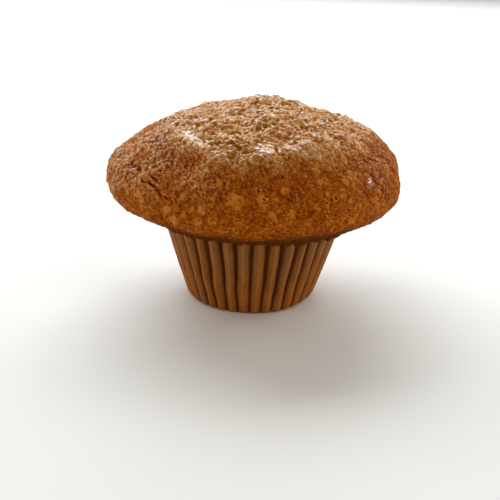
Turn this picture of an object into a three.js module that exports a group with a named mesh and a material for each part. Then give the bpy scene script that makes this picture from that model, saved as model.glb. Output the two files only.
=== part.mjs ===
// A large baked muffin in its pleated paper case, in millimetres, +Z up.
// The origin is the centre of the case's flat base, on the surface that it stands on.
// -Y is the front and +X is to the right of someone who faces the front.
import * as THREE from "three";

// ---- the paper case ----
const BASE_RADIUS = 25.0; // outside of the flutes, at the base
const WALL_SLOPE = 0.308; // radius gained for each mm of height
const CASE_HEIGHT = 36.0;
const FLUTES = 37;
const SAMPLES_PER_FLUTE = 8;
const FOLD_DEPTH_BASE = 0.8;
const FOLD_DEPTH_TOP = 2.0;
const FOLD_DEPTH_SPREAD = 0.2; // share by which one fold differs from the next
const FOLD_WIDTH = 0.56; // share of the pitch that a fold's mouth takes
const WALL = 0.6; // the folded sheet's thickness, measured along the radius
const CORNER = 1.2; // rounding between the wall and the base
const CORNER_EXTRA = [-32, 26, 1.6]; // azimuth, spread in degrees and depth of the more rounded stretch
const CORNER_ROWS = 3;
const CORNER_BITE = 0.6; // how far the floor's inner edge stays in, as a share of the rounding

// ---- the baked muffin ----
const RIM_RADIUS = 55.6; // the widest ring of the crown
const RIM_HEIGHT = 47.2;
const TOP_HEIGHT = 75.2;
const LIP_RADIUS = 38.6; // the rolled edge that hangs over the paper
const LIP_HEIGHT = 33.2;
const LIP_THICKNESS = 1.9;
const CLEARANCE = 0.35; // kept between the muffin and its paper
const CROWN_ROWS = 37;
const CROWN_SEGMENTS = 108;
const BODY_ROWS = 4;
const LIP_ROWS = 5; // rows of the crown over which the crust settles onto the paper

// Crown outline above the rim: share of the rim's radius, share of the height up to the top.
const DOME = [
  [0, 1],
  [0.216, 0.979],
  [0.432, 0.884],
  [0.647, 0.704],
  [0.827, 0.465],
  [0.955, 0.23],
  [1, 0],
];
// Crown outline below the rim: share of the way from the lip to the rim, outwards and up.
const UNDERSIDE = [
  [0.95, 0.7],
  [0.69, 0.45],
  [0.33, 0.26],
  [0.094, 0.1],
  [0, 0],
];

// Broad swells of the risen batter: azimuth in degrees, radius, height, reach, swell.
const SWELLS = [
  [10, 45, 61, 12, 3.0], // full right shoulder
  [-2, 56, 47, 6, -1.5], // tuck below the right shoulder
  [-32, 44, 37, 5.5, 1.6], // sag at the lower right
  [180, 52, 54, 9, 1.5], // left lobe's shoulder
  [-160, 40, 62, 9, 0.6], // left lobe's crown
  [-168, 50, 40, 6, -1.2], // tuck under the left lobe
  [70, 3, 75.5, 7, 1.5], // knob at the top
  [140, 24, 72, 10, -1.2], // slope behind the knob, at the left
  [40, 27, 71, 7, -0.6], // slope behind the knob, at the right
  [-90, 37, 66, 8, 0.9], // brow at the front
  [-60, 52, 44, 14, -0.5], // slack under the front right
  [95, 44, 62, 12, 1.2], // back shoulder
  [140, 54, 48, 10, 1.2], // back left bulge
  [50, 55, 47, 9, -1.0], // hollow between two bulges at the back right
];
// Where the lip hangs lower or higher than its ring: azimuth, spread in degrees, drop.
const LIP_SAGS = [
  [-25, 24, 1.6],
  [-97, 12, -0.5],
  [-150, 20, 0.5],
  [60, 22, 0.8],
  [125, 16, -0.5],
];

// Lines along which the crust stands up (rise above 0) or sinks in (rise below 0):
// width, rise, then points of azimuth and height.
const CREASES = [
  {
    width: 8.0,
    rise: 1.1,
    route: [[-166, 68.3], [-140, 68.0], [-111, 64.4], [-94, 63.4], [-78, 64.2], [-69, 65.6], [-28, 65.0]],
  },
  { width: 8.0, rise: 0.8, route: [[120, 66.0], [100, 64.4], [76, 65.2], [52, 64.0], [30, 65.4]] },
  { width: 3.4, rise: -0.7, route: [[-172, 60.5], [-161, 58.8], [-151, 57.6], [-143, 57.2], [-137, 59.5]] },
  { width: 3.0, rise: -0.5, route: [[-133, 57.4], [-129, 53.8], [-124, 51.4], [-119, 51.0], [-115, 49.6]] },
  { width: 3.4, rise: -0.4, route: [[-50, 60.5], [-38, 59.8], [-26, 60.8], [-16, 59.6]] },
  { width: 3.2, rise: -0.8, route: [[62, 60.5], [74, 58.4], [86, 57.6], [97, 54.4]] },
  { width: 3.0, rise: -0.7, route: [[150, 60.0], [158, 56.2], [161, 52.0], [170, 49.6]] },
];

// Crags: small rises and dips spread evenly over the crown.
const CRAGS = 420;
const CRAG_REACH = [1.6, 3.4];
const CRAG_SWELL = [-0.8, 1.0];
const CRAG_SEED = 7391;
const SIDE_SHARE = 0.4; // the crags' height on the smooth sides, as a share of that on the top
const SIDE_TO_TOP = [54, 64]; // heights between which the sides turn into the rough top
const GOLDEN_ANGLE = Math.PI * (3 - Math.sqrt(5));

const lerp = (from, to, share) => from + (to - from) * share;
const radians = THREE.MathUtils.degToRad;
const smooth = THREE.MathUtils.smoothstep;

// A repeatable stream of numbers from 0 to 1.
function drawFrom(seed) {
  let state = seed;
  return () => {
    state = (state * 16807) % 2147483647;
    return state / 2147483647;
  };
}

const caseRadius = (z) => BASE_RADIUS + WALL_SLOPE * z;

function crownCurve() {
  const dome = DOME.map(([out, up]) =>
    new THREE.Vector2(out * RIM_RADIUS, lerp(RIM_HEIGHT, TOP_HEIGHT, up)));
  const under = UNDERSIDE.map(([out, up]) =>
    new THREE.Vector2(lerp(LIP_RADIUS, RIM_RADIUS, out), lerp(LIP_HEIGHT, RIM_HEIGHT, up)));
  return new THREE.SplineCurve([...dome, ...under]);
}

// The point of the smooth crown at an azimuth and a height, above the rim.
function onDome(curve, azimuth, height) {
  const steps = 200;
  let best = curve.getPoint(0);
  for (let i = 1; i <= steps; i++) {
    const p = curve.getPoint((i / steps) * 0.6);
    if (Math.abs(p.y - height) < Math.abs(best.y - height)) best = p;
  }
  return polar(azimuth, best.x, best.y);
}

function polar(azimuth, radius, height) {
  const a = radians(azimuth);
  return new THREE.Vector3(radius * Math.cos(a), radius * Math.sin(a), height);
}

// Crag centres at even area along the crown, turned by the golden angle from one to the next.
function makeCrags(curve) {
  const draw = drawFrom(CRAG_SEED);
  const points = curve.getSpacedPoints(400);
  const area = [0];
  for (let i = 1; i < points.length; i++)
    area.push(area[i - 1] + points[i].distanceTo(points[i - 1]) * (points[i].x + points[i - 1].x));
  const crags = [];
  for (let k = 0; k < CRAGS; k++) {
    const target = ((k + draw()) / CRAGS) * area[area.length - 1];
    const p = points[area.findIndex((a) => a >= target)];
    const angle = k * GOLDEN_ANGLE + 0.6 * draw();
    crags.push({
      at: new THREE.Vector3(p.x * Math.cos(angle), p.x * Math.sin(angle), p.y),
      reach: lerp(...CRAG_REACH, draw()),
      swell: lerp(...CRAG_SWELL, draw()) * lerp(SIDE_SHARE, 1, smooth(p.y, ...SIDE_TO_TOP)),
    });
  }
  return crags;
}

function makeCreases(curve) {
  return CREASES.map(({ width, rise, route }) => ({
    width,
    rise,
    points: route.map(([azimuth, height]) => onDome(curve, azimuth, height)),
  }));
}

const bell = (distance, reach) => Math.exp((-distance * distance) / (2 * reach * reach));

// How far the baked crust stands proud of the smooth crown at a point.
function relief(point, crags, creases) {
  let out = 0;
  for (const [azimuth, radius, height, reach, swell] of SWELLS)
    out += swell * bell(point.distanceTo(polar(azimuth, radius, height)), reach);
  for (const { at, reach, swell } of crags) out += swell * bell(point.distanceTo(at), reach);
  const near = new THREE.Vector3();
  for (const { width, rise, points } of creases) {
    let closest = Infinity;
    for (let i = 1; i < points.length; i++) {
      new THREE.Line3(points[i - 1], points[i]).closestPointToPoint(point, true, near);
      closest = Math.min(closest, near.distanceTo(point));
    }
    out += rise * bell(closest, width / 2);
  }
  return out;
}

// The turn in degrees from one azimuth to another, between -180 and 180.
const turnedFrom = (azimuth, centre) => THREE.MathUtils.euclideanModulo(azimuth - centre + 180, 360) - 180;

// How far the lip hangs below its ring at an azimuth in degrees.
function lipDrop(azimuth) {
  let drop = 0;
  for (const [centre, spread, depth] of LIP_SAGS) drop += depth * bell(turnedFrom(azimuth, centre), spread);
  return drop;
}

// The outward direction of each point of an outline that runs from the bottom up.
function facings(outline) {
  return outline.map((p, i) => {
    const after = outline[Math.min(i + 1, outline.length - 1)];
    const before = outline[Math.max(i - 1, 0)];
    return new THREE.Vector2(after.y - before.y, before.x - after.x).normalize();
  });
}

// Turns an outline of radius and height into a solid of revolution about Z.
function turned(outline, segments) {
  const geometry = new THREE.LatheGeometry(outline, segments);
  geometry.rotateX(Math.PI / 2);
  geometry.deleteAttribute("normal");
  geometry.deleteAttribute("uv");
  return geometry;
}

function muffinGeometry() {
  const curve = crownCurve();
  const crown = curve.getSpacedPoints(CROWN_ROWS).reverse();
  const groove = LIP_RADIUS - LIP_THICKNESS;
  const inside = (z) => caseRadius(z) - FOLD_DEPTH_TOP * (1 + FOLD_DEPTH_SPREAD) - WALL - CLEARANCE;
  const roof = CASE_HEIGHT + CLEARANCE;
  const floor = WALL + CLEARANCE;
  const outline = [new THREE.Vector2(0, floor)];
  for (let i = 0; i <= BODY_ROWS; i++) {
    const z = lerp(floor, roof, i / BODY_ROWS);
    outline.push(new THREE.Vector2(inside(z), z));
  }
  outline.push(
    new THREE.Vector2(groove, roof),
    new THREE.Vector2(groove, LIP_HEIGHT),
    new THREE.Vector2(LIP_RADIUS - LIP_THICKNESS / 2, LIP_HEIGHT - 0.4),
  );
  const lip = outline.length;
  outline.push(...crown);
  const geometry = turned(outline, CROWN_SEGMENTS);

  const crags = makeCrags(curve);
  const creases = makeCreases(curve);
  const facing = facings(crown);
  facing[crown.length - 1].set(0, 1);
  const position = geometry.getAttribute("position");
  const point = new THREE.Vector3();
  const away = new THREE.Vector3();
  for (let i = 0; i < position.count; i++) {
    const row = (i % outline.length) - lip;
    if (row < -2) continue;
    point.fromBufferAttribute(position, i);
    const azimuth = Math.atan2(point.y, point.x);
    const settled = 1 - smooth(row, 0, LIP_ROWS);
    if (row >= 0) {
      const { x: outward, y: upward } = facing[row];
      away.set(outward * Math.cos(azimuth), outward * Math.sin(azimuth), upward);
      point.addScaledVector(away, (1 - settled) * relief(point, crags, creases));
    }
    point.z -= settled * lipDrop(THREE.MathUtils.radToDeg(azimuth));
    position.setXYZ(i, point.x, point.y, point.z);
  }
  return geometry;
}

// Depth of the folds at a turn of the case: 0 on a flute's flat back, 1 at the bottom of a fold.
// A fold lies at the very front, where the turn is 0.
function fold(turn) {
  const across = turn * FLUTES - Math.round(turn * FLUTES);
  return Math.max(0, 1 - Math.abs(across) / (FOLD_WIDTH / 2));
}

// Radius of the rounding between the wall and the base at an azimuth in degrees.
function cornerRadius(azimuth) {
  const [centre, spread, extra] = CORNER_EXTRA;
  return CORNER + extra * bell(turnedFrom(azimuth, centre), spread);
}

function caseGeometry() {
  const draw = drawFrom(CRAG_SEED);
  const spread = Array.from({ length: FLUTES }, () => 1 + FOLD_DEPTH_SPREAD * (2 * draw() - 1));
  const outline = [new THREE.Vector2(0, 0)];
  for (let row = 0; row < CORNER_ROWS; row++) outline.push(new THREE.Vector2(BASE_RADIUS, 0));
  outline.push(
    new THREE.Vector2(caseRadius(CASE_HEIGHT), CASE_HEIGHT),
    new THREE.Vector2(caseRadius(CASE_HEIGHT) - WALL, CASE_HEIGHT),
    new THREE.Vector2(BASE_RADIUS - WALL, CORNER),
    new THREE.Vector2(BASE_RADIUS - WALL, WALL),
    new THREE.Vector2(0, WALL),
  );
  const innerCorner = outline.length - 3;
  const innerFloor = outline.length - 2;
  const geometry = turned(outline, FLUTES * SAMPLES_PER_FLUTE);

  const position = geometry.getAttribute("position");
  for (let i = 0; i < position.count; i++) {
    const x = position.getX(i);
    const y = position.getY(i);
    let z = position.getZ(i);
    let radius = Math.hypot(x, y);
    if (radius < 1) continue;
    const ring = i % outline.length;
    const corner = cornerRadius(THREE.MathUtils.radToDeg(Math.atan2(y, x)));
    if (ring <= CORNER_ROWS) {
      const bend = ((ring - 1) / (CORNER_ROWS - 1)) * (Math.PI / 2);
      z = corner * (1 - Math.cos(bend));
      radius = caseRadius(z) - corner * (1 - Math.sin(bend));
    }
    if (ring === innerCorner) {
      z = corner;
      radius = caseRadius(z) - WALL;
    }
    if (ring === innerFloor) radius = caseRadius(z) - WALL / 2 - corner * CORNER_BITE;
    const turn = (Math.atan2(x, -y) / (2 * Math.PI) + 1) % 1;
    const deepest = lerp(FOLD_DEPTH_BASE, FOLD_DEPTH_TOP, z / CASE_HEIGHT);
    const depth = deepest * spread[Math.round(turn * FLUTES) % FLUTES];
    const share = (radius - depth * fold(turn)) / Math.hypot(x, y);
    position.setXYZ(i, x * share, y * share, z);
  }
  return geometry;
}

const crust = new THREE.MeshStandardMaterial({ color: 0x8f5020, roughness: 0.6, metalness: 0 });
const bakingPaper = new THREE.MeshStandardMaterial({ color: 0x7f5230, roughness: 0.85, metalness: 0 });

const muffin = new THREE.Mesh(muffinGeometry(), crust);
muffin.name = "muffin";

const paperCase = new THREE.Mesh(caseGeometry(), bakingPaper);
paperCase.name = "paper_case";

const group = new THREE.Group();
group.add(muffin, paperCase);

export default group;
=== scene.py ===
"""A large baked muffin in its pleated paper case, on a plain pale stage.

Everything is in metres. The origin is the centre of the case's flat base, +Z is up and -Y is the front.
The tables that shape the crown are in millimetres, and azimuths in degrees: 0 is +X, -90 is the front.
"""

import math

import bmesh
import bpy
import numpy as np
from bpy.props import FloatProperty, FloatVectorProperty, IntProperty, PointerProperty
from mathutils import Color, Matrix, Vector, noise


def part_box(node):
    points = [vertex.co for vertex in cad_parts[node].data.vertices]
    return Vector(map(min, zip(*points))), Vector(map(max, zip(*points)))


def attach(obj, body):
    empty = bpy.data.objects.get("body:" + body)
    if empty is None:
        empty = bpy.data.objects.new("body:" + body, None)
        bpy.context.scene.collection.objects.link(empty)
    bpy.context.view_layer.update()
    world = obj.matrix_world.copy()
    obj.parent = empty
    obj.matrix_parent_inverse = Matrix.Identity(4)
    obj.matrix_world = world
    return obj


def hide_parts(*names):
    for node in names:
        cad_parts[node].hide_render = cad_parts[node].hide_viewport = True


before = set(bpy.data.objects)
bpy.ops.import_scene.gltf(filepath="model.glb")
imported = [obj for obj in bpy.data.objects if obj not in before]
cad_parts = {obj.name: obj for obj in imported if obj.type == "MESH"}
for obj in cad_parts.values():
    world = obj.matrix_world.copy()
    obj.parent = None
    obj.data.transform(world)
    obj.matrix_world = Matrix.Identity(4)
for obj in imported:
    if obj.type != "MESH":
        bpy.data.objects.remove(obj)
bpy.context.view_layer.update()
CASE_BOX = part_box("paper_case")

bl_info = {
    "name": "Muffin in a Paper Case",
    "version": (1, 0, 0),
    "blender": (4, 5, 0),
    "location": "3D View > Sidebar > Muffin",
    "description": "Builds a baked muffin, its pleated paper case and a plain stage with a camera",
    "category": "Add Mesh",
}

MM = 0.001
GOLDEN_ANGLE = math.pi * (3 - math.sqrt(5))

# Crown outline above the rim: share of the rim's radius, share of the height up to the top.
DOME = [(0, 1), (0.216, 0.979), (0.432, 0.884), (0.647, 0.704), (0.827, 0.465), (0.955, 0.23), (1, 0)]
# Crown outline below the rim: share of the way from the lip to the rim, outwards and up.
UNDERSIDE = [(0.95, 0.7), (0.69, 0.45), (0.33, 0.26), (0.094, 0.1), (0, 0)]

# Broad swells of the risen batter: azimuth in degrees, radius, height, reach, swell.
SWELLS = [
    (10, 45, 61, 12, 3.0),
    (-2, 56, 47, 6, -1.5),
    (-32, 44, 37, 5.5, 1.6),
    (180, 52, 54, 9, 1.2),
    (176, 43, 63, 11, -1.0),
    (170, 12, 75, 7, -0.6),
    (5, 34, 69.5, 8, -1.3),
    (-160, 40, 62, 9, 0.6),
    (-168, 50, 40, 6, -1.2),
    (70, 3, 75.5, 7, 1.5),
    (140, 24, 72, 10, -1.2),
    (40, 27, 71, 7, -0.6),
    (-90, 37, 66, 8, 0.9),
    (-60, 52, 44, 14, -0.5),
    (95, 44, 62, 12, 1.2),
    (140, 54, 48, 10, 1.2),
    (50, 55, 47, 9, -1.0),
]
# Where the lip hangs lower or higher than its ring: azimuth, spread in degrees, drop.
LIP_SAGS = [(-25, 24, 1.6), (-97, 12, -0.5), (-150, 20, 0.5), (60, 22, 0.8), (125, 16, -0.5)]
# Lines along which the crust stands up (rise above 0) or sinks in: width, rise, points of azimuth, height.
CREASES = [
    (
        8.0,
        1.1,
        [(-166, 68.3), (-140, 68.0), (-111, 64.4), (-94, 63.4), (-78, 64.2), (-69, 65.6), (-28, 65.0)],
    ),
    (8.0, 0.8, [(120, 66.0), (100, 64.4), (76, 65.2), (52, 64.0), (30, 65.4)]),
    (3.4, -0.7, [(-172, 60.5), (-161, 58.8), (-151, 57.6), (-143, 57.2), (-137, 59.5)]),
    (3.0, -0.5, [(-133, 57.4), (-129, 53.8), (-124, 51.4), (-119, 51.0), (-115, 49.6)]),
    (3.4, -0.4, [(-50, 60.5), (-38, 59.8), (-26, 60.8), (-16, 59.6)]),
    (3.2, -0.8, [(62, 60.5), (74, 58.4), (86, 57.6), (97, 54.4)]),
    (3.0, -0.7, [(150, 60.0), (158, 56.2), (161, 52.0), (170, 49.6)]),
]
# Thin broken splits in the crust: width, depth, points of azimuth and height.
SPLITS = [
    (0.8, 1.5, [(-137, 54.4), (-133, 54.7), (-130, 54.3), (-127.5, 53.3), (-125.5, 52.2)]),
    (0.6, 1.2, [(-125.5, 52.2), (-122, 51.8), (-118.5, 51.0), (-116, 50.1)]),
    (0.65, 1.1, [(-135, 56.4), (-130, 56.0)]),
    (1.1, 0.9, [(-153, 57.6), (-150, 56.8), (-144, 57.0)]),
    (0.5, 0.6, [(66, 59.8), (74, 58.2), (83, 57.8), (90, 56.4)]),
    (0.5, 0.5, [(152, 58.8), (158, 55.6), (160, 52.4)]),
]
# Where the sides are lumpy instead of smooth: azimuth, radius, height, reach, share.
LUMPY = [
    (-165, 50, 57, 12, 1.0),
    (-145, 47, 60, 8, 0.8),
    (-30, 46, 60, 11, 0.3),
    (0, 50, 59, 9, 0.15),
    (-112, 46, 62, 6, 0.5),
    (62, 48, 60, 12, 0.8),
    (112, 49, 58, 10, 0.7),
    (150, 50, 57, 9, 0.6),
]
# Where the crust on the top is smooth and shiny, and gets a painted sheen on its colour: azimuth, radius,
# height, reach, share.
GLAZED = [
    (-153, 33.6, 69.9, 1.7, 0.9),
    (-143, 34.2, 69.6, 1.5, 0.8),
    (-134, 34.9, 69.2, 1.8, 1.0),
    (-127, 36.0, 68.4, 1.5, 0.9),
    (-121, 37.2, 67.5, 2.0, 1.0),
    (-112, 39.5, 66.2, 2.0, 1.0),
    (-105, 41.8, 65.0, 1.8, 0.9),
    (-86, 36.9, 68.0, 2.6, 1.0),
    (-83, 40.5, 66.5, 2.0, 0.9),
    (-70, 37.8, 67.3, 2.0, 0.9),
    (-61, 37.5, 68.0, 2.6, 1.0),
    (-60, 40.3, 66.0, 1.8, 0.8),
    (-143, 24.0, 71.9, 2.5, 0.7),
    (180, 15.4, 73.2, 2.4, 0.5),
    (-160, 4.5, 75.8, 2.2, 0.5),
    (50, 2.0, 77.2, 1.8, 0.5),
    (-20, 20.0, 73.0, 2.2, 0.5),
    (100, 38.0, 67.0, 2.4, 0.9),
    (88, 39.0, 66.5, 2.0, 0.8),
    (122, 36.0, 68.0, 2.4, 0.8),
    (40, 38.0, 67.5, 2.2, 0.8),
    (-39, 51.7, 55.0, 1.5, 0.7),
    (-36, 50.9, 56.0, 1.1, 0.6),
    (-33, 45.9, 60.3, 1.5, 0.6),
    (-151, 55.1, 49.6, 1.6, 0.6),
]
# Baked-in pieces of pale crumb: azimuth, radius, height, size.
PALE_BITS = [
    (-95.5, 52.8, 53.5, 2.9),
    (-97.5, 52.2, 54.8, 1.7),
    (-108, 54.7, 50.2, 1.9),
    (-109, 55.6, 46.3, 1.5),
    (-104, 55.6, 47.2, 1.5),
    (-87, 51.9, 54.6, 1.9),
    (-78, 49.8, 56.9, 1.7),
    (-43, 42.9, 62.7, 1.8),
    (-61, 44.4, 61.4, 1.5),
    (-39, 54.6, 50.1, 1.6),
    (-83, 54.8, 50.0, 1.6),
    (-76, 54.6, 50.4, 1.7),
]
# Open bubbles in the crust: azimuth, radius, height, size.
PITS = [
    (-109, 54.7, 43.3, 0.6),
    (-95, 55.4, 48.1, 0.52),
    (-100, 55.6, 46.3, 0.52),
    (-90, 52.8, 53.5, 0.45),
    (-86, 52.8, 53.5, 0.52),
    (-86, 52.2, 54.4, 0.45),
    (-86, 49.9, 57.0, 0.52),
    (-88, 50.0, 57.0, 0.52),
    (-78, 46.1, 60.5, 0.52),
    (-110, 51.0, 55.8, 0.52),
    (-92, 47.5, 59.4, 0.52),
    (-106, 46.1, 60.5, 0.52),
    (-60, 52.5, 53.3, 0.68),
    (-58, 52.5, 53.3, 0.68),
    (-62, 53.0, 52.4, 0.45),
]
# Crumbs that cling to the lip: azimuth, radius, height, reach, swell.
LIP_CRUMBS = [(-36, 40.4, 32.6, 1.0, 1.2), (-30, 41.4, 32.9, 0.8, 0.9), (-44, 39.6, 32.9, 0.8, 0.8)]
# Small crags all over the crown: how many, and the least and most that they reach and swell.
CRAGS = 420
CRAG_REACH = (1.6, 3.4)
CRAG_SWELL = (-0.8, 1.0)
SIDE_SHARE = 0.4  # the crags' height on the sides, as a share of that on the top

# The muffin's mesh: cuts across each side of the cube that it comes from, steps along its outlines, the
# share of it that is hidden in the case, and the share of the crown's outline that settles onto the paper.
BALL_CUTS = 124
CROWN_STEPS = 900
OUTLINE_STEPS = 400
HIDDEN_SHARE = 0.05
SETTLED_SHARE = 5 / 37

# Where the case's lower corner is more rounded: azimuth, spread in degrees, extra rounding in metres.
CORNER_EXTRA = (-32, 26, 0.0016)
# How far each flute leans round to the sides, away from the front and the back, as a share of its width.
FLUTE_LEAN = 0.28
# The case's mesh: columns across a flute, rows up the wall, rings in the base.
FLUTE_COLUMNS, WALL_ROWS, BASE_RINGS = 18, 34, 6
# Unevenness of the paper in metres: bulging flutes, crumples, a flare low at the front and a dented base.
BULGE, CRUMPLE, FLARE, DENT = 0.00025, 0.00013, 0.0005, 0.0005

# Seeds of the random draws.
CRAG_SEED = 7391
FLECK_SEED = 911
BUBBLE_SEED = 4231
NOISE_SEED = 42

# The camera: place, target, roll in degrees, focal length and sensor width in millimetres.
CAMERA_PLACE = (0.0, -0.3289, 0.1464)
CAMERA_TARGET = (-0.0005, 0.0, 0.0162)
CAMERA_ROLL = 2.0
FOCAL_LENGTH = 64.15
SENSOR_WIDTH = 36.0
# Soft panels of light, all aimed at one target: name, place, width, height, watts, tint.
LIGHT_TARGET = (0.0, 0.0, 0.05)
LIGHTS = [
    ("window", (-0.2, 0.65, 0.78), 1.2, 0.5, 11.0, (0.89, 0.96, 1.0)),
    ("low_window", (0.0, 1.1, 0.5), 2.2, 0.5, 9.5, (0.89, 0.96, 1.0)),
    ("left_side", (-0.95, 0.55, 0.5), 0.5, 0.4, 2.5, (1.0, 0.96, 0.92)),
    ("right_side", (0.95, 0.5, 0.6), 0.5, 0.4, 3.4, (1.0, 0.96, 0.92)),
    ("left_low", (-0.9, -0.3, 0.12), 0.4, 0.15, 1.4, (1.0, 0.95, 0.88)),
    ("right_low", (0.9, -0.3, 0.12), 0.4, 0.15, 1.7, (1.0, 0.93, 0.85)),
    ("left_fill", (-0.62, -0.72, 0.8), 0.6, 0.6, 1.9, (1.0, 0.92, 0.8)),
    ("right_fill", (0.62, -0.72, 0.8), 0.6, 0.6, 2.5, (1.0, 0.92, 0.8)),
]
SKY_TINT = (1.0, 0.98, 0.95, 1)
SKY_STRENGTH = 0.14
FLOOR_RADIUS = 4.0


def linear(*display):
    """A display colour of 0 to 255 as the linear colour that materials take."""
    return tuple(((c / 255 + 0.055) / 1.055) ** 2.4 if c > 10 else c / 255 / 12.92 for c in display)


def size(name, description, default):
    return FloatProperty(name=name, description=description, default=default, unit="LENGTH", precision=4)


def factor(name, description, default):
    return FloatProperty(name=name, description=description, default=default, min=0, max=1, subtype="FACTOR")


def colour(name, description, default):
    return FloatVectorProperty(
        name=name, description=description, default=linear(*default), subtype="COLOR", size=3, min=0, max=1
    )


class CrumbSizes(bpy.types.PropertyGroup):
    """Sizes of the baked muffin."""

    rim_radius: size("Rim radius", "Widest ring of the crown", 0.0556)
    rim_height: size("Rim height", "Height of the widest ring", 0.0472)
    top_height: size("Top height", "Height of the crown's smooth outline", 0.0752)
    lip_radius: size("Lip radius", "Outer radius of the rolled edge over the paper", 0.0386)
    lip_height: size("Lip height", "Height of the rolled edge", 0.0332)
    pebble_width: size("Pebble width", "Spacing of the rough crumbs on the top", 0.0022)
    pebble_height: size("Pebble height", "How far the rough crumbs stand up on the top", 0.0005)
    side_roughness: factor("Side roughness", "Relief of the smooth sides as a share of the top's", 0.72)
    side_sheen: factor("Side sheen", "Oily sheen low on the sides as a share of the top's", 0.05)
    bubbles: IntProperty(name="Bubbles", description="Small open pits over the crust", default=220, min=0)
    flecks: IntProperty(name="Flecks", description="Pale bits baked into the crust", default=330, min=0)


class CaseSizes(bpy.types.PropertyGroup):
    """Sizes of the pleated paper case."""

    base_radius: size("Base radius", "Outer radius of the flat base", 0.025)
    height: size("Height", "Height of the paper wall", round(CASE_BOX[1].z, 4))
    slope: FloatProperty(name="Slope", description="Radius gained for each unit of height", default=0.308)
    flutes: IntProperty(name="Flutes", description="Pleats round the case", default=37, min=8)
    fold_depth_base: size("Fold depth at the base", "Depth of a fold between two flutes", 0.0008)
    fold_depth_top: size("Fold depth at the top", "Depth of a fold between two flutes", 0.0020)
    corner: size("Corner", "Rounding between the wall and the base", 0.0012)
    thickness: size("Paper thickness", "Thickness of the sheet", 0.00014)


class BakeColours(bpy.types.PropertyGroup):
    """Colours of the crust, the paper and the stage."""

    crust: colour("Crust", "Smooth baked side", (170, 86, 6))
    dark_crust: colour("Dark crust", "Well-browned patches", (150, 68, 4))
    golden: colour("Golden crust", "Less browned patches", (184, 106, 16))
    ruddy: colour("Ruddy crust", "Reddish patches", (122, 46, 4))
    toasted: colour("Toasted crumb", "Rough crumb on the top", (226, 190, 130))
    # Dry crumb on the proud tops of the lumps, laid paler partly as a painted highlight.
    dusty_and_lit: colour("Dusty crumb", "Dry crests of the lumps on the sides", (232, 166, 124))
    tan: colour("Tan crumb", "Dry crumb between the toasted and the moist", (204, 144, 66))
    # Moist crumb in the top's hollows, its darker orange partly painted shade.
    hollow: colour("Hollow", "Moist crumb in the top's hollows", (172, 96, 20))
    amber: colour("Amber crumb", "Browned bits among the toasted ones", (192, 104, 30))
    fleck: colour("Fleck", "Pale bits in the crust", (210, 122, 20))
    # Fine pale grains, which also stand in as painted sparkle over the crust.
    pale_grain_and_sparkle: colour("Speck", "Fine pale grains", (206, 140, 78))
    # Painted shade at the bottoms of the cracks and gaps.
    crevice_shade: colour("Crevice", "Bottoms of the cracks and gaps", (120, 48, 5))
    # Painted shade inside the open pits and the splits.
    pit_and_split_shade: colour("Bubble", "Inside of an open pit", (104, 22, 3))
    # Painted shade on the lower crown and its rolled edge, which face down towards the paper.
    lip: colour("Lip", "Rolled edge over the paper", (88, 38, 3))
    # Painted sheen: a paler colour laid on the shiny patches of the top.
    painted_sheen: colour("Glazed crumb", "Crumb under the gloss on the top", (214, 180, 134))
    # Painted glints: near-white grains on the oily parts.
    glint: colour("Glint", "Oiled grains that catch the light", (252, 226, 206))
    dry_paper: colour("Dry paper", "Upper wall, where less oil has soaked in", (148, 97, 49))
    # Painted highlight along the backs of the flutes.
    paper: colour("Paper", "Worn backs of the flutes", (178, 114, 54))
    oiled_paper: colour("Oiled paper", "Where oil has soaked in", (157, 87, 22))
    # Painted shade at the bottoms of the folds, also the paper's fibre streaks.
    fibre_and_fold_shade: colour("Paper fold", "Paper at the bottom of a fold", (62, 18, 2))
    floor: colour("Floor", "Plain stage", (232, 230, 226))


# ---- shapes ----


def draws(seed):
    """A repeatable stream of numbers from 0 to 1."""
    state = seed
    while True:
        state = state * 16807 % 2147483647
        yield state / 2147483647


def lerp(start, end, share):
    return start + (end - start) * share


def smoothstep(value, low, high):
    share = np.clip((value - low) / (high - low), 0, 1)
    return share * share * (3 - 2 * share)


def bell(distance, reach):
    return np.exp(-(distance**2) / (2 * reach**2))


def polar(azimuth, radius, height):
    angle = math.radians(azimuth)
    return np.array([radius * math.cos(angle), radius * math.sin(angle), height])


def spline(points, steps=60):
    """A smooth curve through the points, which passes each one."""
    p = np.array([points[0], *points, points[-1]], float)
    curve = []
    for before, start, end, after in zip(p, p[1:], p[2:], p[3:]):
        t = np.linspace(0, 1, steps, endpoint=False)[:, None]
        leave, arrive = (end - before) / 2, (after - start) / 2
        curve.append(
            (2 * start - 2 * end + leave + arrive) * t**3
            + (3 * end - 3 * start - 2 * leave - arrive) * t**2
            + leave * t
            + start
        )
    return np.vstack([*curve, p[-1:]])


def running(values):
    """The running sum of the values, from 0."""
    return np.concatenate([[0], np.cumsum(values)])


def bands(outline):
    """The length of each step of an outline, and a measure of the area that it sweeps round the axis."""
    lengths = np.hypot(*np.diff(outline, axis=0).T)
    return lengths, lengths * (outline[1:, 0] + outline[:-1, 0])


def evenly(curve, count):
    """The curve again, as count steps of equal length."""
    along = running(bands(curve)[0])
    at = np.linspace(0, along[-1], count + 1)
    return np.stack([np.interp(at, along, column) for column in curve.T], 1)


def crown_outline(sizes):
    """Radius and height along the crown, from the apex over the rim to the lip, in millimetres."""
    rim, rim_z, top = sizes.rim_radius / MM, sizes.rim_height / MM, sizes.top_height / MM
    lip, lip_z = sizes.lip_radius / MM, sizes.lip_height / MM
    dome = [(out * rim, lerp(rim_z, top, up)) for out, up in DOME]
    under = [(lerp(lip, rim, out), lerp(lip_z, rim_z, up)) for out, up in UNDERSIDE]
    return spline(dome + under)


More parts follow.
